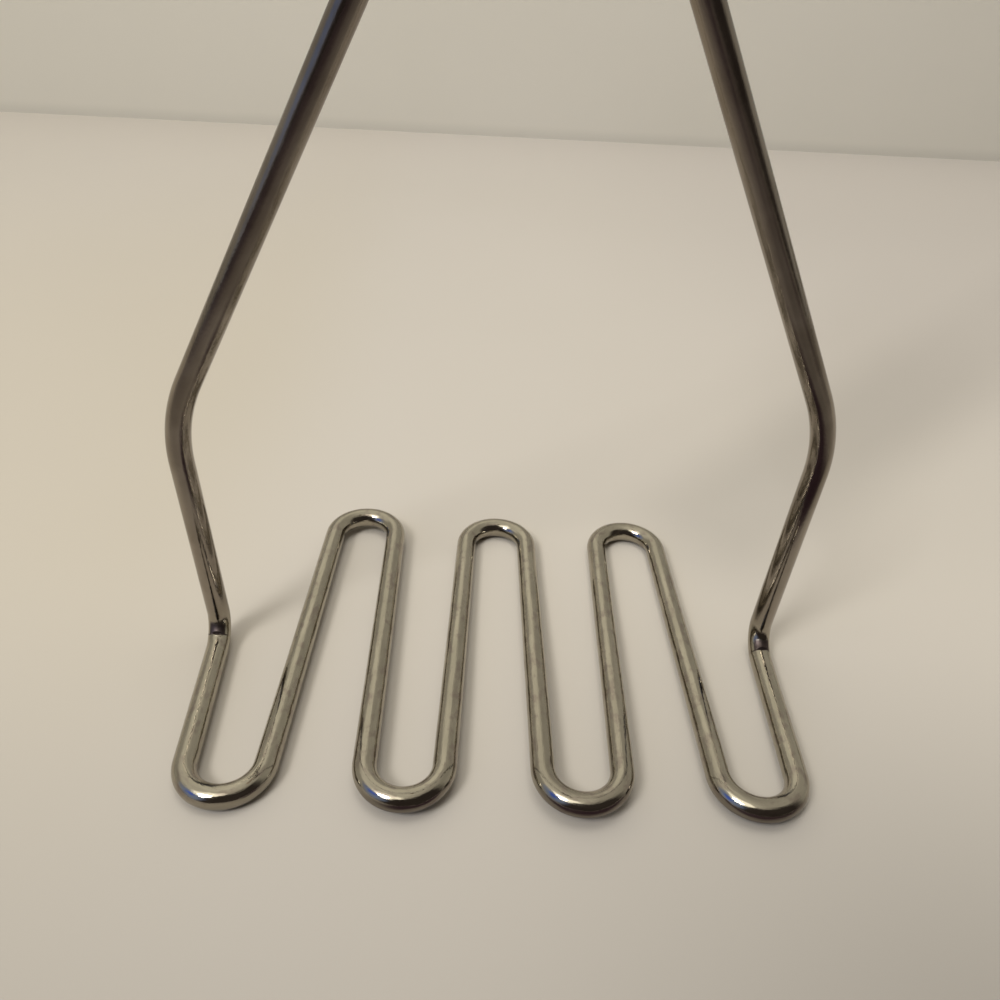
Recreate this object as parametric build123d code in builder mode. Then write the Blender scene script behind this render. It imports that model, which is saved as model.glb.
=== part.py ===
from build123d import *

import os
from math import acos, degrees

# Potato masher, in millimetres. The head lies on Z = 0 with its food side down, the handle points
# up +Z, the head's width runs along X and its depth along Y. The origin is under the handle's axis.

# Wire
wire_diameter = 5.0

# Head: one zigzag row of U-bends at the front, facing -Y, and one at the back
front_bend_count = 4
bend_radius = 8.1
front_pitch = 36.0
back_pitch = 35.5
back_row_shift = 1.0
inner_front_reach = 36.0
outer_front_reach = 36.6
back_reach = 34.5
left_back_reach = 36.0

# Legs: each rises from a foot near the head's mid-depth to a knee, then leans in to the throat
foot_spacing = 128.0
left_foot_setback = 0.6
right_foot_setback = 2.1
foot_bend_inside = 4.0
left_crease_turn = 32.0
right_crease_turn = 13.0
crease_depth = 0.35
crease_width = 0.8
left_knee_reach = 65.3
right_knee_reach = 64.4
left_knee_height = 60.2
right_knee_height = 62.5
knee_bend = 38.0
throat_height = 175.0
throat_bend = 12.0

# Tails: the wire's two straight ends, inside the handle
tail_spacing = 9.0
tail_depth = 45.0
tail_chamfer = 0.4
tail_clearance = 0.1

# Ferrule
ferrule_standoff = 5.0
ferrule_length = 20.0
ferrule_wall = 0.8
ferrule_lip_clearance = 0.7
ferrule_corner = 0.6
ferrule_rim = 0.6
ferrule_clearance = 0.05

# Cross pin, through the ferrule, the handle and both tails
pin_wire_share = 0.5
pin_stand_out = 0.4
pin_round = 0.35
pin_clearance = 0.05

# Handle, each height above the one before it
spigot_wall = 2.0
collar_step = 2.2
collar_height = 4.6
collar_bulge = 0.9
neck_diameter = 19.6
grip_diameter = 27.4
grip_rise = 36.0
waist_diameter = 22.6
waist_rise = 23.0
pommel_diameter = 25.8
pommel_rise = 15.0
pommel_land = 4.0
dome_height = 4.4
dome_round = 5.0
groove_count = 3
groove_pitch = 3.6
groove_radius = 0.9
groove_depth = 0.6
hang_hole_diameter = 6.4
hang_hole_drop = 5.4
hang_hole_round = 0.8

# Reach of a cut past the surface it opens
cut_overrun = 1.0

wire_radius = wire_diameter / 2
foot_bend = wire_radius + foot_bend_inside
ferrule_base = throat_height + ferrule_standoff
ferrule_top = ferrule_base + ferrule_length
handle_base = ferrule_base + ferrule_wall
tail_top = ferrule_base + tail_depth
tail_reach = tail_spacing / 2 + wire_radius
spigot_radius = tail_reach + spigot_wall
lip_radius = tail_reach + ferrule_lip_clearance
ferrule_inner_radius = spigot_radius + ferrule_clearance
ferrule_outer_radius = ferrule_inner_radius + ferrule_wall
pin_height = (ferrule_base + ferrule_top) / 2
pin_radius = wire_radius * pin_wire_share
pin_hole_radius = pin_radius + pin_clearance
collar_radius = spigot_radius + collar_step
neck_base = ferrule_top + collar_height
grip_height = neck_base + grip_rise
waist_height = grip_height + waist_rise
pommel_height = waist_height + pommel_rise
pommel_radius = pommel_diameter / 2
dome_base = pommel_height + pommel_land
handle_top = dome_base + dome_height
dome_radius = (pommel_radius**2 + dome_height**2) / (2 * dome_height)


def bend_centres():
    """Centres of the U-bends from left to right, front and back in turn."""
    centres = []
    last = front_bend_count - 1
    for index in range(front_bend_count):
        reach = outer_front_reach if index in (0, last) else inner_front_reach
        centres.append(Vector((index - last / 2) * front_pitch, -reach, wire_radius))
        if index < last:
            reach = left_back_reach if index == 0 else back_reach
            x = (index - (last - 1) / 2) * back_pitch + back_row_shift
            centres.append(Vector(x, reach, wire_radius))
    return centres


def run_ends(start, start_radius, end, end_radius):
    """Ends of the straight run that leaves start's +X side and meets end's -X side."""
    span = end - start
    turn = degrees(acos((start_radius + end_radius) / span.length))
    if end.Y > start.Y:
        turn = -turn
    outward = span.normalized().rotate(Axis.Z, turn)
    return start + outward * start_radius, end - outward * end_radius


def leg_points(side, knee, foot, head_end):
    """Corners of one leg's centreline from its tail down to the head, on side -1 or +1."""
    tail = Vector(side * tail_spacing / 2, 0, tail_top)
    throat = Vector(side * tail_spacing / 2, 0, throat_height)
    return [tail, throat, knee, foot, head_end]


# The wire's centreline: left leg, zigzag, right leg
centres = bend_centres()
left_knee = Vector(-left_knee_reach, 0, left_knee_height)
right_knee = Vector(right_knee_reach, 0, right_knee_height)
left_foot = Vector(-foot_spacing / 2, left_foot_setback, wire_radius)
right_foot = Vector(foot_spacing / 2, right_foot_setback, wire_radius)
stops = [(left_foot, 0)] + [(centre, bend_radius) for centre in centres] + [(right_foot, 0)]
runs = [run_ends(*near, *far) for near, far in zip(stops, stops[1:])]
leg_bends = [throat_bend, knee_bend, foot_bend]

with BuildPart() as masher_wire:
    with BuildLine() as centreline:
        left_leg = leg_points(-1, left_knee, left_foot, runs[0][1])
        FilletPolyline(*left_leg, radius=leg_bends)
        for index, centre in enumerate(centres):
            way = 1 if centre.Y > 0 else -1
            crown = centre + Vector(0, way * bend_radius, 0)
            ThreePointArc(runs[index][1], crown, runs[index + 1][0])
            if index < len(centres) - 1:
                Line(*runs[index + 1])
        right_leg = leg_points(1, right_knee, right_foot, runs[-1][0])[::-1]
        FilletPolyline(*right_leg, radius=leg_bends[::-1])
    path = centreline.wires()[0]
    with BuildSketch(Plane(origin=path @ 0, z_dir=path % 0)):
        Circle(wire_radius)
    sweep(path=path)

    # A crease runs across the inside of each foot's bend, at a turn from straight down
    for foot, crease_turn in ((left_foot, left_crease_turn), (right_foot, right_crease_turn)):
        bend_centre = Vector(foot.Y - foot_bend, foot.Z + foot_bend)
        outward = Vector(0, -1).rotate(Axis.Z, crease_turn)
        aside = outward.rotate(Axis.Z, 90) * crease_width / 2
        opening = bend_centre + outward * (foot_bend_inside - crease_depth)
        bottom = bend_centre + outward * (foot_bend_inside + crease_depth)
        with BuildSketch(Plane.YZ.offset(foot.X)):
            with BuildLine():
                Polyline(opening - aside * 2, bottom, opening + aside * 2, close=True)
            make_face()
        extrude(amount=wire_radius, both=True, mode=Mode.SUBTRACT)

    tail_ends = masher_wire.faces().filter_by(Axis.Z).sort_by(Axis.Z)[-2:]
    chamfer(tail_ends.edges(), tail_chamfer)
    with BuildSketch(Plane.YZ):
        with Locations((0, pin_height)):
            Circle(pin_hole_radius)
    extrude(amount=tail_reach + cut_overrun, both=True, mode=Mode.SUBTRACT)

# A cup whose lip turns in under the handle's end, with a rolled rim at its top
with BuildPart() as ferrule:
    with BuildSketch(Plane.XZ):
        with BuildLine():
            Polyline(
                (lip_radius, ferrule_base),
                (ferrule_outer_radius, ferrule_base),
                (ferrule_outer_radius, ferrule_top),
                (ferrule_inner_radius, ferrule_top),
                (ferrule_inner_radius, handle_base),
                (lip_radius, handle_base),
                close=True,
            )
        make_face()
        outer_corner = vertices().group_by(Axis.Y)[0].sort_by(Axis.X)[-1]
        fillet(outer_corner, ferrule_corner)
        with Locations((ferrule_outer_radius, ferrule_top - ferrule_rim)):
            Circle(ferrule_rim)
    revolve(axis=Axis.Z)
    with BuildSketch(Plane.YZ):
        with Locations((0, pin_height)):
            Circle(pin_hole_radius)
    extrude(amount=ferrule_outer_radius + cut_overrun, both=True, mode=Mode.SUBTRACT)

# Turned in one piece: spigot, collar bead, swelling grip with grooves, waist and domed pommel
with BuildPart() as handle:
    with BuildSketch(Plane.XZ):
        with BuildLine():
            Polyline(
                (0, handle_top),
                (0, handle_base),
                (spigot_radius, handle_base),
                (spigot_radius, ferrule_top),
                (collar_radius, ferrule_top),
            )
            ThreePointArc(
                (collar_radius, ferrule_top),
                (collar_radius + collar_bulge, ferrule_top + collar_height / 2),
                (collar_radius, neck_base),
            )
            Line((collar_radius, neck_base), (neck_diameter / 2, neck_base))
            Spline(
                (neck_diameter / 2, neck_base),
                (grip_diameter / 2, grip_height),
                (waist_diameter / 2, waist_height),
                (pommel_radius, pommel_height),
                tangents=[(0, 1)] * 4,
            )
            Line((pommel_radius, pommel_height), (pommel_radius, dome_base))
            RadiusArc((pommel_radius, dome_base), (0, handle_top), -dome_radius)
        make_face()
        dome_edge = vertices().sort_by_distance((pommel_radius, dome_base))[0]
        fillet(dome_edge, dome_round)
        groove_centre = grip_diameter / 2 - groove_depth + groove_radius
        with Locations((groove_centre, grip_height)):
            with GridLocations(0, groove_pitch, 1, groove_count):
                Circle(groove_radius, mode=Mode.SUBTRACT)
    revolve(axis=Axis.Z)
    with BuildSketch(Plane.XY.offset(handle_base)):
        with Locations((-tail_spacing / 2, 0), (tail_spacing / 2, 0)):
            Circle(wire_radius + tail_clearance)
    extrude(amount=tail_top - handle_base, mode=Mode.SUBTRACT)
    with BuildSketch(Plane.YZ):
        with Locations((0, pin_height)):
            Circle(pin_hole_radius)
    extrude(amount=spigot_radius + cut_overrun, both=True, mode=Mode.SUBTRACT)
    with BuildSketch(Plane.XZ):
        with Locations((0, pommel_height - hang_hole_drop)):
            Circle(hang_hole_diameter / 2)
    extrude(amount=pommel_radius + cut_overrun, both=True, mode=Mode.SUBTRACT)
    hang_hole_wall = handle.faces(Select.LAST).filter_by(GeomType.CYLINDER)[0]
    fillet(hang_hole_wall.edges(), hang_hole_round)

with BuildPart() as cross_pin:
    with BuildSketch(Plane.YZ):
        with Locations((0, pin_height)):
            Circle(pin_radius)
    extrude(amount=ferrule_outer_radius + pin_stand_out, both=True)
    fillet(cross_pin.edges().filter_by(GeomType.CIRCLE), pin_round)

masher_wire.part.label = "masher_wire"
ferrule.part.label = "ferrule"
handle.part.label = "handle"
cross_pin.part.label = "cross_pin"

os.makedirs("parts", exist_ok=True)
export_step(masher_wire.part, "parts/masher_wire.step")
export_step(ferrule.part, "parts/ferrule.step")
export_step(handle.part, "parts/handle.step")
export_step(cross_pin.part, "parts/cross_pin.step")
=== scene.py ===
from math import acos, atan2, cos, pi, radians, sin, sqrt, tan

import bmesh
import bpy
from mathutils import Matrix, Vector


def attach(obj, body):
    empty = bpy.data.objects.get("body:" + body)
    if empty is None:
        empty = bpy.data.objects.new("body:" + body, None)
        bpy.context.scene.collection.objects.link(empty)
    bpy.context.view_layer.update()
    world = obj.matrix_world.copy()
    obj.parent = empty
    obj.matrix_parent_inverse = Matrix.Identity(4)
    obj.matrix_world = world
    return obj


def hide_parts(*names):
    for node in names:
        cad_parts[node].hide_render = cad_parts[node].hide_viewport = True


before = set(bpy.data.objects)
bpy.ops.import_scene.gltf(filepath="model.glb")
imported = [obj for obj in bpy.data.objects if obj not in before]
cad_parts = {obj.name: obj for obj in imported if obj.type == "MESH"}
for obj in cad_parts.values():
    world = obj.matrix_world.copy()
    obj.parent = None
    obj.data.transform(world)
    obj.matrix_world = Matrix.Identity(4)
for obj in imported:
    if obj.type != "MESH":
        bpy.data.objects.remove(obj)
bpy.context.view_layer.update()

MM = 0.001

# The wire's path, in millimetres; side -1 is the left one and side 1 the right one
WIRE_R = 2.5
BEND_R = 8.1
FRONT_PITCH = 36.0
BACK_PITCH = 35.5
BACK_SHIFT = 1.0
FRONT_REACH = (36.2, 36.7, 37.4, 37.2)
BACK_REACH = (36.0, 34.5, 34.5)
FOOT = {-1: Vector((-64.0, 0.6, WIRE_R)), 1: Vector((64.0, 2.1, WIRE_R))}
KNEE = {-1: Vector((-65.3, 0, 60.2)), 1: Vector((64.4, 0, 62.5))}
FOOT_BEND, KNEE_BEND, THROAT_BEND = 6.5, 38.0, 12.0
THROAT_Z = 175.0
TAIL_X, TAIL_TOP, TAIL_CHAMFER = 4.5, 225.0, 0.4

# How far the left foot, each U-bend in turn and the right foot are sprung up off the ground
LIFT = (0.0, 0.0, 0.9, 1.1, 0.0, 1.7, 0.0, 0.8, 0.0)

# Crease across the inside of each foot's bend, at a turn from straight down, and the dark patch
# that reaches out of it along the wire, on the side that faces the bend's centre
CREASE_TURN = {-1: radians(32), 1: radians(13)}
CREASE_DEPTH, CREASE_WIDTH = 0.35, 0.8
DARK_REACH = 3.4
DARK_FACING, DARK_GAIN = 0.68, 6

# The skin's mesh: largest steps along the wire in millimetres, turns, and parts of a curve
LEG_STEP, RUN_STEP, ARC_STEP, FOOT_STEP = 2.0, 1.2, 1.0, 0.08
ARC_TURN, ARC_PARTS = radians(4), 4
BEND_PARTS = 60
SIDES = 64
SHARP = radians(35)

# Heights at which the looks change, in metres
HEAD_TOP, LEG_START = 0.004, 0.014
FERRULE_BASE, PIN_Z, FERRULE_TOP = 0.180, 0.190, 0.200
COLLAR_SEAM = 0.2047
HELD_LOW, HELD_HIGH = (0.206, 0.225), (0.287, 0.262)
GRIP_Z, GROOVE_PITCH = 0.2406, 0.0036
HANG_HOLE_Z = 0.2732
HANDLE_TOP = 0.287

# The wood's year rings, in metres: the pith's place and lean beside the handle, and their width
PITH_X, PITH_Y = 0.021, 0.012
LEAN_X, LEAN_Y = 0.05, -0.03
YEAR_WIDTH, RING_WANDER = 0.0024, 0.006

# The cards that the object stands on and in front of, in metres
CARD_HALF, WALL_Y, WALL_TOP = 2, 0.494, 0.15

# Painted soft shade of the handle on the floor: its way across the card, and how far it
# passes the origin
SHADE_X, SHADE_Y, SHADE_OFFSET = 0.72, 0.69, 0.010

# The camera, fitted to the photo: metres, radians and millimetres
CAMERA_PLACE = (-0.00693, -0.14094, 0.14851)
YAW, PITCH, ROLL = -0.0467, 0.6386, 0.0616
SENSOR_WIDTH, LENS = 36, 30.156
CLIP_START = 0.005


def bend_centres():
    """Centres of the U-bends from left to right, front and back in turn."""
    centres = []
    for i, reach in enumerate(FRONT_REACH):
        centres.append(Vector(((i - 1.5) * FRONT_PITCH, -reach, WIRE_R)))
        if i < len(BACK_REACH):
            centres.append(Vector(((i - 1) * BACK_PITCH + BACK_SHIFT, BACK_REACH[i], WIRE_R)))
    return centres


def run_ends(start, start_radius, end, end_radius):
    """Ends of the straight run that leaves start's +X side and meets end's -X side."""
    span = end - start
    turn = acos((start_radius + end_radius) / span.length)
    if end.y > start.y:
        turn = -turn
    outward = Matrix.Rotation(turn, 3, "Z") @ span.normalized()
    return start + outward * start_radius, end - outward * end_radius


def rounded(before, corner, after, radius, step):
    """Points of the arc that rounds a corner."""
    a = (before - corner).normalized()
    b = (after - corner).normalized()
    half = a.angle(b) / 2
    centre = corner + (a + b).normalized() * (radius / sin(half))
    u = corner + a * (radius / tan(half)) - centre
    v = corner + b * (radius / tan(half)) - centre
    angle, axis = u.angle(v), u.cross(v).normalized()
    n = max(int(angle * radius / step), int(angle / ARC_TURN), ARC_PARTS)
    return [centre + Matrix.Rotation(angle * i / n, 3, axis) @ u for i in range(n + 1)]


def between(a, b, step):
    """Points inside a straight stretch."""
    n = max(1, round((b - a).length / step))
    return [a.lerp(b, i / n) for i in range(1, n)]


def leg(side, head):
    """One leg from its tail's end down to its foot, with close points round the foot."""
    tail = Vector((side * TAIL_X, 0, TAIL_TOP))
    throat = Vector((side * TAIL_X, 0, THROAT_Z))
    knee, foot = KNEE[side], FOOT[side]
    points = [tail]
    for arc in (rounded(tail, throat, knee, THROAT_BEND, ARC_STEP),
                rounded(throat, knee, foot, KNEE_BEND, ARC_STEP),
                rounded(knee, foot, head, FOOT_BEND, FOOT_STEP)):
        points += between(points[-1], arc[0], LEG_STEP) + arc
    return points


def raised(points, low, high):
    """Points of a stretch, sprung up from one height to another and level at both ends."""
    sprung = []
    for i, p in enumerate(points):
        t = (i + 1) / (len(points) + 1)
        sprung.append(p + Vector((0, 0, low + (high - low) * t * t * (3 - 2 * t))))
    return sprung


def wire_points():
    """The whole centreline: left leg, zigzag, right leg."""
    centres = bend_centres()
    stops = [(FOOT[-1], 0)] + [(c, BEND_R) for c in centres] + [(FOOT[1], 0)]
    runs = [run_ends(*near, *far) for near, far in zip(stops, stops[1:])]
    points = leg(-1, runs[0][1])
    last = points[-1]
    for i, centre in enumerate(centres):
        start, end = runs[i][1], runs[i + 1][0]
        points += raised(between(last, start, RUN_STEP), LIFT[i], LIFT[i + 1])
        u, v = start - centre, end - centre
        sweep = u.angle(v)
        crown = Matrix.Rotation(sweep / 2, 3, "Z") @ u
        if crown.y * centre.y < 0:
            sweep = -sweep
        turns = [sweep * k / BEND_PARTS for k in range(BEND_PARTS + 1)]
        arc = [centre + Matrix.Rotation(turn, 3, "Z") @ u for turn in turns]
        points += raised(arc, LIFT[i + 1], LIFT[i + 1])
        last = end
    right = leg(1, runs[-1][0])[::-1]
    return points + raised(between(last, right[0], RUN_STEP), LIFT[-2], LIFT[-1]) + right


def creased(p):
    """A surface point, moved onto the crease's wall if it is in the crease, and its share of
    the dark patch."""
    side = -1 if p.x < 0 else 1
    centre = FOOT[side] + Vector((0, -FOOT_BEND, FOOT_BEND))
    y, z = p.y - centre.y, p.z - centre.z
    if abs(p.x) < abs(FOOT[side].x) - 2 * WIRE_R or z > FOOT_BEND or y < -FOOT_BEND:
        return p, 0.0
    reach, turn = sqrt(y * y + z * z), atan2(y, -z)
    inside = FOOT_BEND - WIRE_R
    off = (turn - CREASE_TURN[side]) * inside
    wall = inside + CREASE_DEPTH - abs(off) * 2 * CREASE_DEPTH / CREASE_WIDTH
    facing = max(0.0, 1 - (reach - inside) / WIRE_R)
    dark_share = 0.0
    if off > 0:
        dark_share = max(0.0, 1 - off / DARK_REACH)
        dark_share *= min(1.0, max(0.0, facing - DARK_FACING) * DARK_GAIN)
    elif off > -CREASE_WIDTH / 2:
        dark_share = facing * (1 + off * 2 / CREASE_WIDTH)
    if reach < wall:
        p = centre + Vector((p.x - centre.x, sin(turn) * wall, -cos(turn) * wall))
    return p, dark_share


def sweep_wire(name):
    """The round wire as a mesh, each vertex with its place on the strand in millimetres."""
    points = wire_points()
    bm = bmesh.new()
    strand = bm.verts.layers.float_vector.new("strand")
    dark_share = bm.verts.layers.float.new("dark_share")
    normal = Vector((0, 1, 0))
    along, last, rings = 0.0, None, []
    for i, p in enumerate(points):
        ahead = (points[min(i + 1, len(points) - 1)] - points[max(i - 1, 0)]).normalized()
        if last is not None:
            normal = last.rotation_difference(ahead) @ normal
            along += (p - points[i - 1]).length
        normal = (normal - ahead * normal.dot(ahead)).normalized()
        side = ahead.cross(normal)
        at_end = TAIL_TOP - p.z < TAIL_CHAMFER / 2
        radius = WIRE_R - (TAIL_CHAMFER if at_end else 0)
        ring = []
        for k in range(SIDES):
            a = 2 * pi * k / SIDES
            where, share = creased(p + (normal * cos(a) + side * sin(a)) * radius)
            v = bm.verts.new(where * MM)
            v[strand] = (cos(a) * WIRE_R, sin(a) * WIRE_R, along)
            v[dark_share] = share
            ring.append(v)
        rings.append(ring)
        last = ahead
    for a, b in zip(rings, rings[1:]):
        for k in range(SIDES):
            after = (k + 1) % SIDES
            bm.faces.new((a[k], a[after], b[after], b[k]))
    bm.faces.new(rings[0][::-1])
    bm.faces.new(rings[-1])
    bmesh.ops.recalc_face_normals(bm, faces=bm.faces)
    mesh = bpy.data.meshes.new(name)
    bm.to_mesh(mesh)
    bm.free()
    mesh.polygons.foreach_set("use_smooth", [True] * len(mesh.polygons))
    mesh.set_sharp_from_angle(angle=SHARP)
    obj = bpy.data.objects.new(name, mesh)
    bpy.context.scene.collection.objects.link(obj)
    return obj


def srgb(r, g, b):
    """Linear colour of an sRGB one, 0 to 255."""
    def linear(c):
        c /= 255
        return c / 12.92 if c <= 0.04045 else ((c + 0.055) / 1.055) ** 2.4
    return (linear(r), linear(g), linear(b), 1)


# Colours of the wire, linear as all tuples here are
HEAD_DULL, HEAD_BRIGHT = (0.338, 0.311, 0.251, 1), (0.413, 0.380, 0.309, 1)
HEAD_CLOUD = (0.28, 0.235, 0.202, 1)
LOW_LEG_DARK, LOW_LEG_PALE = (0.225, 0.195, 0.16, 1), (0.30, 0.265, 0.225, 1)
HIGH_LEG_DARK, HIGH_LEG_PALE = (0.180, 0.152, 0.125, 1), (0.242, 0.210, 0.178, 1)
DRAWN_MARK, GRAIN_MARK = (0.22, 0.20, 0.17, 1), (0.20, 0.185, 0.16, 1)
CREASE_DARK = (0.045, 0.03, 0.032, 1)

# Colours of the ferrule
FERRULE_DULL, FERRULE_BRIGHT = (0.43, 0.405, 0.365, 1), (0.53, 0.505, 0.46, 1)
FINGERPRINT, SCRATCH = (0.34, 0.30, 0.25, 1), (0.22, 0.20, 0.18, 1)
FERRULE_SPOT, FERRULE_SOIL = (0.16, 0.12, 0.09, 1), (0.07, 0.055, 0.04, 1)

# Colours of the cross pin
PIN_DULL, PIN_BRIGHT = (0.40, 0.37, 0.33, 1), (0.55, 0.52, 0.47, 1)
PIN_PIT, PIN_RIM = (0.15, 0.12, 0.10, 1), (0.10, 0.08, 0.065, 1)

# Colours of the handle
WOOD_DARK, WOOD_PALE = (0.40, 0.225, 0.105, 1), (0.50, 0.30, 0.155, 1)
LATE_WOOD, FIBRE = (0.27, 0.135, 0.058, 1), (0.25, 0.125, 0.055, 1)
RAY, PORE = (0.30, 0.15, 0.065, 1), (0.09, 0.045, 0.022, 1)
HANDLED, WOOD_DIRT = (0.17, 0.085, 0.04, 1), (0.055, 0.03, 0.017, 1)
WORN = (0.62, 0.43, 0.26, 1)

# Colours of the cards, and the plain tone past them
BLACK = (0, 0, 0, 1)
FLOOR_DARK, FLOOR_LIGHT = srgb(192, 185, 174), srgb(195, 188, 178)
# Painted shade and light on the floor, and a painted shade seen only in reflections
FLOOR_RIGHT_SHADE, FLOOR_FAR_LIGHT = srgb(188, 181, 172), srgb(200, 193, 183)
FLOOR_WARM_LIGHT, FLOOR_MIRRORED_SHADE = (0.41, 0.335, 0.17, 1), (0.04, 0.021, 0.03, 1)
WALL_DARK, WALL_LIGHT = srgb(221, 216, 202), srgb(225, 220, 207)
PAST_CARDS = srgb(190, 184, 168)

# Sockets of a mix node that mixes colours
MIX_SHARE, MIX_A, MIX_B, MIX_RESULT = 0, 6, 7, 2


class Graph:
    """A node tree built with short calls; a value is a number, a tuple or another node's output."""

    def __init__(self, tree):
        self.nodes, self.links = tree.nodes, tree.links

    def put(self, socket, value):
        if isinstance(value, bpy.types.NodeSocket):
            self.links.new(value, socket)
        elif value is not None:
            socket.default_value = value

    def node(self, kind, inputs=(), out=0, **settings):
        """A new node's output, its inputs filled in order."""
        n = self.nodes.new(kind)
        for key, value in settings.items():
            setattr(n, key, value)
        for i, value in enumerate(inputs):
            self.put(n.inputs[i], value)
        return n.outputs[out]

    def math(self, operation, a, b=None):
        return self.node("ShaderNodeMath", (a, b), operation=operation)

    def vector(self, operation, a, b=None, out="Vector"):
        return self.node("ShaderNodeVectorMath", (a, b), out, operation=operation)

    def fold(self, operation, values):
        total = values[0]
        for value in values[1:]:
            total = self.math(operation, total, value)
        return total

    def add(self, *values):
        return self.fold("ADD", values)

    def times(self, *values):
        return self.fold("MULTIPLY", values)

    def most(self, *values):
        return self.fold("MAXIMUM", values)

    def noise(self, where, scale, detail=3.0, rough=0.5):
        """Noise, 0 to 1, of a place stretched by a scale per axis."""
        place = self.vector("MULTIPLY", where, scale)
        # Vector, W, Scale, Detail, Roughness
        return self.node("ShaderNodeTexNoise", (place, None, 1.0, detail, rough))

    def ramp(self, value, low, high, at_low=0.0, at_high=1.0):
        """Eases from one number to another as the value goes from low to high."""
        return self.node("ShaderNodeMapRange", (value, low, high, at_low, at_high),
                         interpolation_type="SMOOTHSTEP")

    def mix(self, share, a, b):
        """Colour a, gone over to colour b by a share."""
        n = self.nodes.new("ShaderNodeMix")
        n.data_type = "RGBA"
        for i, value in ((MIX_SHARE, share), (MIX_A, a), (MIX_B, b)):
            self.put(n.inputs[i], value)
        return n.outputs[MIX_RESULT]

    def xyz(self, value):
        n = self.nodes.new("ShaderNodeSeparateXYZ")
        self.put(n.inputs[0], value)
        return n.outputs

    def place(self):
        """Where a point is on the object, in metres."""
        return self.node("ShaderNodeTexCoord", out="Object")

    def bump(self, height):
        """A surface normal for a height in millimetres."""
        n = self.nodes.new("ShaderNodeBump")
        self.put(n.inputs["Distance"], MM)
        self.put(n.inputs["Height"], height)
        return n.outputs[0]


def material(name):
    m = bpy.data.materials.new(name)
    m.use_nodes = True
    return m, Graph(m.node_tree), m.node_tree.nodes["Principled BSDF"].inputs


def steel_wire(name):
    """Bright wire with lengthwise marks and mottling. Its legs are darker and browner than the
    head, more so higher up, and a dark patch lies in each foot's crease."""
    m, g, bsdf = material(name)
    strand = g.node("ShaderNodeAttribute", out="Vector", attribute_name="strand")
    dark_share = g.node("ShaderNodeAttribute", out="Fac", attribute_name="dark_share")
    z = g.xyz(g.place())[2]
    drawn = g.noise(strand, (1.8, 1.8, 0.05), 3.0, 0.6)
    grain = g.noise(strand, (2.8, 2.8, 1.3), 3.0, 0.6)
    mottle = g.noise(strand, (0.6, 0.6, 0.1), 3.0, 0.55)
    cloud = g.noise(strand, (0.45, 0.45, 0.28), 3.0, 0.6)
    patch = g.noise(strand, (0.12, 0.12, 0.07), 3.0, 0.6)

    head = g.mix(g.ramp(mottle, 0.32, 0.68), HEAD_DULL, HEAD_BRIGHT)
    head = g.mix(g.ramp(cloud, 0.49, 0.70, 0.0, 0.8), head, HEAD_CLOUD)
    # Legs darker and browner than the head, and darker again higher up
    low = g.mix(g.ramp(patch, 0.35, 0.65), LOW_LEG_DARK, LOW_LEG_PALE)
    high = g.mix(g.ramp(patch, 0.35, 0.65), HIGH_LEG_DARK, HIGH_LEG_PALE)
    leg_colour = g.mix(g.ramp(z, 0.07, 0.13), low, high)
    colour = g.mix(g.ramp(z, HEAD_TOP, LEG_START), head, leg_colour)
    colour = g.mix(g.ramp(drawn, 0.6, 0.8, 0.0, 0.3), colour, DRAWN_MARK)
    colour = g.mix(g.ramp(grain, 0.62, 0.8, 0.0, 0.35), colour, GRAIN_MARK)
    # A rough, nearly black patch in and beside each foot's crease
    crease_dark = g.ramp(g.add(dark_share, g.times(g.add(mottle, -0.5), 0.5)), 0.1, 0.45)
    colour = g.mix(g.times(crease_dark, 0.9), colour, CREASE_DARK)
    g.put(bsdf["Base Color"], colour)
    g.put(bsdf["Metallic"], 1.0)

    rough = g.add(g.ramp(mottle, 0.3, 0.7, 0.07, 0.11), g.ramp(patch, 0.4, 0.7, 0.0, 0.04),
                  g.ramp(grain, 0.55, 0.75, 0.0, 0.06), g.times(crease_dark, 0.35),
                  g.ramp(z, 0.05, 0.12, 0.0, 0.07))
    g.put(bsdf["Roughness"], rough)
    wavy = g.add(g.times(mottle, 0.10), g.times(patch, 0.2))
    wavy = g.times(wavy, g.ramp(z, HEAD_TOP, LEG_START, 1.0, 0.35))
    g.put(bsdf["Normal"], g.bump(g.add(g.times(drawn, 0.014), g.times(grain, 0.018), wavy)))
    return m


def round_opening(g, across, z, centre_z, radius, reach):
    """1 inside a round opening and at its edge, easing to 0 over the reach. The opening crosses
    the handle's axis at a height, and the coordinate across is X or Y, square to it."""
    dz = g.add(z, -centre_z)
    away = g.math("SQRT", g.add(g.times(across, across), g.times(dz, dz)))
    return g.ramp(away, radius + reach, radius)


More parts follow.
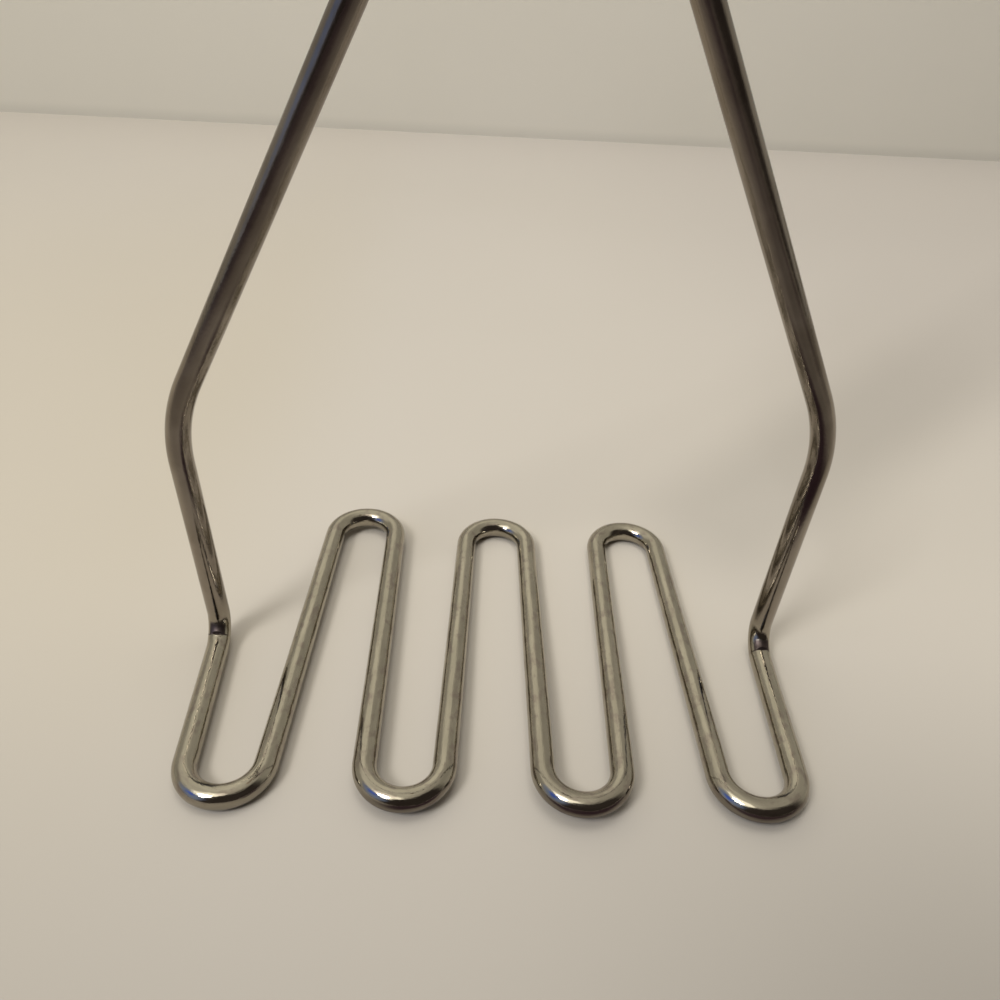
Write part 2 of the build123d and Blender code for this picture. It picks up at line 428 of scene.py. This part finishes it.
def turned_steel(name):
    """Pressed and turned steel with fine marks round it, fingerprints and a few scratches. Soil
    lies at its edges and round the pin."""
    m, g, bsdf = material(name)
    where = g.place()
    _, y, z = g.xyz(where)
    turned = g.noise(where, (60, 60, 9000), 3.0, 0.65)
    bands = g.noise(where, (25, 25, 900), 2.0, 0.5)
    prints = g.noise(where, (260, 260, 200), 4.0, 0.6)
    scratches = g.noise(where, (2600, 2600, 90), 2.0, 0.5)
    spots = g.noise(where, (1500, 1500, 1500), 2.0, 0.6)

    colour = g.mix(g.ramp(bands, 0.3, 0.7), FERRULE_DULL, FERRULE_BRIGHT)
    colour = g.mix(g.ramp(prints, 0.5, 0.75, 0.0, 0.45), colour, FINGERPRINT)
    colour = g.mix(g.ramp(scratches, 0.66, 0.74, 0.0, 0.6), colour, SCRATCH)
    colour = g.mix(g.ramp(spots, 0.68, 0.76, 0.0, 0.5), colour, FERRULE_SPOT)
    edges = g.most(g.ramp(z, FERRULE_TOP - 0.0022, FERRULE_TOP - 0.0010),
                   g.ramp(z, FERRULE_BASE + 0.0012, FERRULE_BASE))
    ragged = g.add(g.times(edges, 0.7), g.times(g.add(prints, -0.5), 1.2))
    round_pin = round_opening(g, y, z, PIN_Z, radius=0.0013, reach=0.0012)
    dark_share = g.most(g.ramp(ragged, 0.3, 0.8), g.times(round_pin, 0.8))
    colour = g.mix(g.times(dark_share, 0.75), colour, FERRULE_SOIL)
    g.put(bsdf["Base Color"], colour)
    g.put(bsdf["Metallic"], g.ramp(dark_share, 0.4, 1.0, 1.0, 0.55))

    rough = g.add(g.ramp(turned, 0.3, 0.7, 0.20, 0.32), g.ramp(prints, 0.45, 0.7, 0.0, 0.12),
                  g.times(dark_share, 0.3))
    g.put(bsdf["Roughness"], rough)
    height = g.add(g.times(turned, 0.012), g.times(bands, 0.01), g.times(prints, 0.02),
                   g.ramp(scratches, 0.66, 0.74, 0.0, -0.01))
    g.put(bsdf["Normal"], g.bump(height))
    return m


def pin_steel(name):
    """Cut and peened pin ends: hammer flats, fine pits, a dark rim."""
    m, g, bsdf = material(name)
    where = g.place()
    _, y, z = g.xyz(where)
    flats = g.noise(where, (1300, 1300, 1300), 2.0, 0.5)
    pits = g.noise(where, (6000, 6000, 6000), 2.0, 0.6)
    middle = round_opening(g, y, z, PIN_Z, radius=0.0009, reach=0.0004)
    rim = g.math("SUBTRACT", 1.0, middle)

    colour = g.mix(g.ramp(flats, 0.3, 0.7), PIN_DULL, PIN_BRIGHT)
    colour = g.mix(g.ramp(pits, 0.6, 0.72, 0.0, 0.6), colour, PIN_PIT)
    colour = g.mix(g.times(rim, 0.6), colour, PIN_RIM)
    g.put(bsdf["Base Color"], colour)
    g.put(bsdf["Metallic"], 1.0)
    g.put(bsdf["Roughness"], g.add(g.ramp(flats, 0.3, 0.7, 0.18, 0.34), g.times(rim, 0.2)))
    g.put(bsdf["Normal"], g.bump(g.add(g.times(flats, 0.08), g.times(pits, 0.01))))
    return m


def turned_wood(name):
    """Oiled beech with year rings about an axis beside the handle, rays and pores along the grain.
    Dirt lies in its grooves and seams, grime where a hand holds it, and its crown is worn."""
    m, g, bsdf = material(name)
    where = g.place()
    x, y, z = g.xyz(where)
    wander = g.noise(where, (30, 30, 7), 3.0, 0.55)
    from_pith = g.node("ShaderNodeCombineXYZ", (g.add(x, PITH_X, g.times(z, LEAN_X)),
                                                g.add(y, PITH_Y, g.times(z, LEAN_Y)), 0.0))
    ring = g.add(g.vector("LENGTH", from_pith, out="Value"), g.times(wander, RING_WANDER))
    year = g.math("FRACT", g.times(ring, 1 / YEAR_WIDTH))
    late = g.times(g.ramp(year, 0.35, 0.9), g.ramp(year, 1.0, 0.93))
    tone = g.noise(where, (90, 90, 9), 3.0, 0.6)
    fibre = g.noise(where, (2600, 2600, 55), 3.0, 0.6)
    pores = g.noise(where, (4200, 4200, 230), 1.0, 0.5)
    rays = g.noise(where, (900, 2600, 260), 1.0, 0.5)
    lathe = g.noise(where, (20, 20, 3200), 2.0, 0.5)
    rub = g.noise(where, (120, 120, 60), 4.0, 0.6)

    colour = g.mix(g.ramp(tone, 0.3, 0.7), WOOD_DARK, WOOD_PALE)
    colour = g.mix(g.times(late, 0.5), colour, LATE_WOOD)
    colour = g.mix(g.ramp(fibre, 0.5, 0.72, 0.0, 0.4), colour, FIBRE)
    colour = g.mix(g.ramp(rays, 0.63, 0.68, 0.0, 0.55), colour, RAY)
    open_pores = g.ramp(pores, 0.66, 0.72)
    colour = g.mix(g.times(open_pores, 0.8), colour, PORE)

    from_grip = g.math("ABSOLUTE", g.add(z, -GRIP_Z))
    groove = g.math("MINIMUM", from_grip, g.math("ABSOLUTE", g.add(from_grip, -GROOVE_PITCH)))
    seam = g.math("ABSOLUTE", g.add(z, -COLLAR_SEAM))
    dirt = g.most(g.ramp(groove, 0.0010, 0.0004), g.ramp(seam, 0.0011, 0.0003),
                  g.ramp(z, FERRULE_TOP + 0.0012, FERRULE_TOP + 0.0002),
                  round_opening(g, x, z, HANG_HOLE_Z, radius=0.0034, reach=0.0012))
    dirt = g.times(dirt, g.ramp(rub, 0.25, 0.6, 0.55, 1.0))
    handled = g.times(g.ramp(rub, 0.45, 0.7, 0.0, 0.35), g.ramp(z, *HELD_LOW),
                      g.ramp(z, *HELD_HIGH))
    colour = g.mix(handled, colour, HANDLED)
    colour = g.mix(g.times(dirt, 0.8), colour, WOOD_DIRT)
    crown = g.times(g.ramp(z, HANDLE_TOP - 0.0035, HANDLE_TOP - 0.0005), g.ramp(rub, 0.4, 0.6))
    colour = g.mix(g.times(crown, 0.45), colour, WORN)
    g.put(bsdf["Base Color"], colour)

    rough = g.add(g.ramp(rub, 0.35, 0.7, 0.46, 0.34), g.times(open_pores, 0.2),
                  g.times(dirt, 0.2), g.ramp(fibre, 0.4, 0.7, 0.0, 0.06))
    g.put(bsdf["Roughness"], rough)
    g.put(bsdf["Specular IOR Level"], 0.45)
    height = g.add(g.times(fibre, 0.03), g.times(open_pores, -0.05), g.times(late, 0.02),
                   g.times(lathe, 0.012), g.times(rub, 0.08))
    g.put(bsdf["Normal"], g.bump(height))
    return m


def card(name, dark, light, shade):
    """Pale matt card whose colour drifts a little, with a function that paints its shade."""
    m, g, bsdf = material(name)
    where = g.place()
    colour = g.mix(g.ramp(g.noise(where, (3, 3, 3)), 0.3, 0.7), dark, light)
    g.put(bsdf["Base Color"], shade(g, where, colour))
    g.put(bsdf["Roughness"], 0.85)
    g.put(bsdf["Specular IOR Level"], 0.2)
    return m


def floor_shade(g, where, colour):
    """Painted light and shade on the floor over its width and depth, and the handle's soft shade.
    """
    x, y, _ = g.xyz(where)
    path = g.nodes.new("ShaderNodeLightPath").outputs

    # Painted light and shade: greyer at the back right, paler at the far end, warmer on the left
    right = g.times(g.ramp(x, 0.02, 0.2), g.ramp(y, 0.02, 0.25))
    colour = g.mix(right, colour, FLOOR_RIGHT_SHADE)
    colour = g.mix(g.ramp(y, 0.30, 0.49, 0.0, 0.6), colour, FLOOR_FAR_LIGHT)
    left = g.times(g.ramp(x, -0.03, -0.10), g.ramp(y, -0.08, 0.05, 0.05, 0.2),
                   g.ramp(y, 0.12, 0.4, 1.0, 0.3))
    colour = g.mix(left, colour, FLOOR_WARM_LIGHT)

    # Painted shade, darker towards the front and its right corner, but well in front of the object
    # only where the metal mirrors it
    painted_front_shade = g.ramp(y, 0.03, -0.15, 0.0, 0.33)
    painted_corner_shade = g.times(g.ramp(x, -0.02, 0.09), g.ramp(x, 0.28, 0.09),
                          g.ramp(y, 0.03, -0.12, 0.0, 0.22))
    near_or_mirrored = g.ramp(g.add(g.ramp(y, -0.24, -0.085), path["Is Glossy Ray"]), 0.0, 1.0)
    colour = g.mix(g.times(g.add(painted_front_shade, painted_corner_shade), near_or_mirrored), colour, BLACK)

    # Painted shade of the handle, away from the key lamp
    along = g.add(g.times(x, SHADE_X), g.times(y, SHADE_Y))
    across = g.add(g.times(x, -SHADE_Y), g.times(y, SHADE_X), SHADE_OFFSET)
    painted_handle_shade = g.times(g.ramp(g.math("ABSOLUTE", across), 0.036, 0.006),
                   g.ramp(along, 0.045, 0.085), g.ramp(along, 0.15, 0.32, 0.15, 0.05))
    colour = g.mix(painted_handle_shade, colour, BLACK)
    return g.mix(mirrored_front(g, x, y, path), colour, FLOOR_MIRRORED_SHADE)


def mirrored_front(g, x, y, path):
    """How much painted shade darkens the floor in front of the metal as it mirrors it; 0 for every
    other ray.
    """
    # Painted contact shade just before the front bends, for reflections close by
    bend_fronts = g.add(g.ramp(y, -0.038, -0.046, 0.0, 0.35), g.ramp(y, -0.048, -0.056, 0.0, 0.45))
    close_by = g.ramp(path["Ray Length"], 0.14, 0.09)
    shade_before_bends = g.times(g.ramp(x, -0.05, -0.02), close_by, bend_fronts)
    front = g.add(g.ramp(y, -0.01, -0.09, 0.0, 0.30), g.ramp(y, -0.03, -0.45, 0.0, 0.63))
    rightwards = g.times(g.add(g.ramp(x, 0.03, 0.11, 1.0, 0.62), g.ramp(x, 0.11, 0.6, 0.0, 0.26)),
                         g.ramp(x, 0.55, 1.1, 1.0, 0.0))
    far_front = g.times(front, rightwards)
    return g.times(g.add(far_front, shade_before_bends), path["Is Glossy Ray"])


def wall_shade(g, where, colour):
    """Painted shade: a dim line along the wall's foot."""
    return g.mix(g.ramp(g.xyz(where)[2], 0.009, 0.001, 0.0, 0.10), colour, BLACK)


def plane(name, corners, look):
    mesh = bpy.data.meshes.new(name)
    mesh.from_pydata(corners, [], [(0, 1, 2, 3)])
    mesh.materials.append(look)
    obj = bpy.data.objects.new(name, mesh)
    bpy.context.scene.collection.objects.link(obj)


def aim(azimuth, elevation):
    """Unit vector; azimuth 0 is the back, +Y, and 90 is the right, +X."""
    a, e = radians(azimuth), radians(elevation)
    return Vector((sin(a) * cos(e), cos(a) * cos(e), sin(e)))


def studio():
    """The room that the metal mirrors; the camera sees one plain tone past the cards."""
    world = bpy.data.worlds.new("studio")
    bpy.context.scene.world = world
    world.use_nodes = True
    g = Graph(world.node_tree)
    way = g.node("ShaderNodeTexCoord", out="Generated")
    z = g.xyz(way)[2]
    # How far the direction reaches along the ground, kept off 0 for the division below
    flat = g.math("SQRT", g.most(g.math("SUBTRACT", 1.0, g.times(z, z)), 0.0001))

    def towards(azimuth, elevation):
        return g.vector("DOT_PRODUCT", way, tuple(aim(azimuth, elevation)), out="Value")

    def spot(azimuth, elevation, inner, outer):
        """1 within the inner angle of a direction, 0 beyond the outer one."""
        return g.ramp(towards(azimuth, elevation), cos(radians(outer)), cos(radians(inner)))

    def bearing(azimuth, inner, outer):
        """1 within the inner angle of a compass bearing, at any height."""
        near = g.math("DIVIDE", towards(azimuth, 0), flat)
        return g.ramp(near, cos(radians(outer)), cos(radians(inner)))

    room = g.mix(g.ramp(z, 0.0, 0.9), (0.45, 0.42, 0.36, 1), (0.62, 0.58, 0.50, 1))
    # Dimmer sides
    right = g.times(bearing(90, 30, 100), g.ramp(z, 0.95, 0.7))
    room = g.mix(right, room, (0.50, 0.47, 0.40, 1))
    left = g.times(bearing(-85, 15, 50), g.ramp(z, 0.8, 0.4))
    room = g.mix(left, room, (0.48, 0.45, 0.38, 1))
    # Lit patches at the back and high on the left
    room = g.mix(spot(-17, 47, 8, 26), room, (1.0, 0.95, 0.80, 1))
    room = g.mix(g.times(spot(-80, 70, 20, 40), 0.8), room, (1.0, 0.95, 0.82, 1))
    # Dark front
    front = g.times(bearing(162, 48, 76), g.ramp(z, 0.97, 0.80))
    room = g.mix(front, room, (0.05, 0.04, 0.035, 1))
    # Blue patch with a deeper middle, low on the front left
    room = g.mix(g.times(spot(-120, 26, 12, 32), 0.85), room, (0.27, 0.36, 0.62, 1))
    room = g.mix(spot(-117, 28, 5, 12), room, (0.12, 0.22, 0.9, 1))
    # Two bright patches, high on the front left
    room = g.mix(spot(-130, 60, 10, 20), room, (2.7, 2.6, 2.3, 1))
    room = g.mix(spot(-153, 66, 5, 13), room, (2.5, 2.4, 2.1, 1))
    # Below the horizon
    room = g.mix(g.ramp(z, 0.0, -0.05), room, (0.05, 0.045, 0.04, 1))

    seen = g.node("ShaderNodeLightPath", out="Is Camera Ray")
    background = world.node_tree.nodes["Background"].inputs
    g.put(background["Color"], g.mix(seen, room, PAST_CARDS))


def lamp(name, way, distance, size, energy):
    """A round soft lamp that stands in a direction from the origin and shines on it."""
    light = bpy.data.lights.new(name, "AREA")
    light.shape = "DISK"
    light.size = size
    light.energy = energy
    obj = bpy.data.objects.new(name, light)
    bpy.context.scene.collection.objects.link(obj)
    obj.location = way * distance
    obj.rotation_mode = "QUATERNION"
    obj.rotation_quaternion = way.to_track_quat("Z", "Y")
    return obj


def photo_camera():
    """The photo's camera: turned and tipped from a level view along +Y, then rolled."""
    turn = Matrix.Rotation(YAW, 3, "Z")
    ahead = turn @ Vector((0, cos(PITCH), -sin(PITCH)))
    level = turn @ Vector((1, 0, 0))
    above = level.cross(ahead)
    camera_x = cos(ROLL) * level + sin(ROLL) * above
    camera_y = cos(ROLL) * above - sin(ROLL) * level
    view = bpy.data.cameras.new("camera")
    view.sensor_fit = "HORIZONTAL"
    view.sensor_width = SENSOR_WIDTH
    view.lens = LENS
    view.clip_start = CLIP_START
    camera = bpy.data.objects.new("camera", view)
    bpy.context.scene.collection.objects.link(camera)
    camera.matrix_world = (Matrix.Translation(CAMERA_PLACE)
                           @ Matrix((camera_x, camera_y, -ahead)).transposed().to_4x4())
    bpy.context.scene.camera = camera


wire = sweep_wire("wire_skin")
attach(wire, "root")
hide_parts("masher_wire")
wire.data.materials.append(steel_wire("wire_steel"))

for node, look in (("ferrule", turned_steel("ferrule_steel")),
                   ("cross_pin", pin_steel("pin_steel")),
                   ("handle", turned_wood("handle_wood"))):
    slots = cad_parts[node].data.materials
    slots.clear()
    slots.append(look)

plane("floor", [(-CARD_HALF, -CARD_HALF, 0), (CARD_HALF, -CARD_HALF, 0),
                (CARD_HALF, WALL_Y, 0), (-CARD_HALF, WALL_Y, 0)],
      card("floor_card", FLOOR_DARK, FLOOR_LIGHT, floor_shade))
plane("wall", [(-CARD_HALF, WALL_Y, 0), (CARD_HALF, WALL_Y, 0),
               (CARD_HALF, WALL_Y, WALL_TOP), (-CARD_HALF, WALL_Y, WALL_TOP)],
      card("wall_card", WALL_DARK, WALL_LIGHT, wall_shade))

studio()
lamp("key", aim(-134, 50), distance=1.8, size=0.5, energy=14.0)
ceiling = lamp("ceiling", aim(0, 85), distance=0.9, size=0.45, energy=2.1)
ceiling.visible_glossy = False
photo_camera()
bpy.context.scene.view_settings.view_transform = "Standard"
